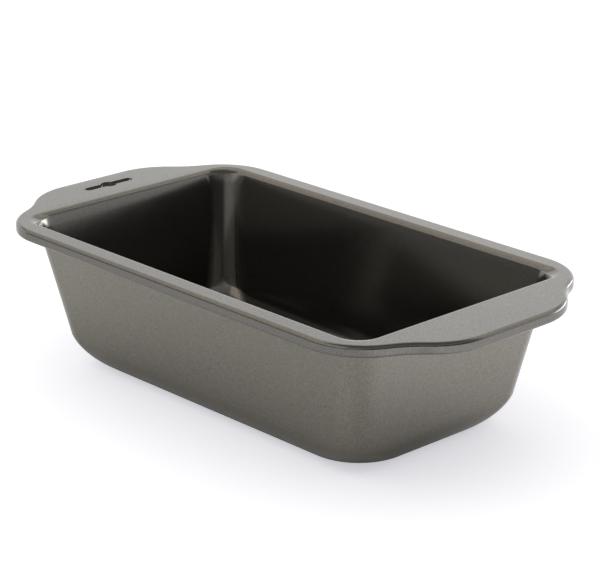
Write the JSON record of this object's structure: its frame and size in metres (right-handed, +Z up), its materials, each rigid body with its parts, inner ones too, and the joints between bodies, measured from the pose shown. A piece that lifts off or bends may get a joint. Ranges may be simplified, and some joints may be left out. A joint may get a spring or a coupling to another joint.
{
  "type": "loaf pan",
  "caption": "Deep tapered loaf pan of coated steel sheet with rounded corners, a flat flange widening into end handles, a turned-down hemmed edge and a hang slot.",
  "frame": {"origin": "on the table under the middle of the pan", "axes": "+X along the pan towards the plain handle, -X towards the handle with the hang slot, +Z up"},
  "size_m": [0.2844, 0.1484, 0.0717],
  "materials": {
    "steel_sheet": "cold-rolled carbon steel, bare only at cut edges",
    "release_film": "satin baked non-stick film with metallic grey pigment",
    "exterior_film": "satin baked film with metallic grey pigment, slightly grainy"
  },
  "bodies": {
    "root": {"steel_shell": "steel_sheet", "release_coating": "release_film", "exterior_coating": "exterior_film"}
  },
  "joints": []
}
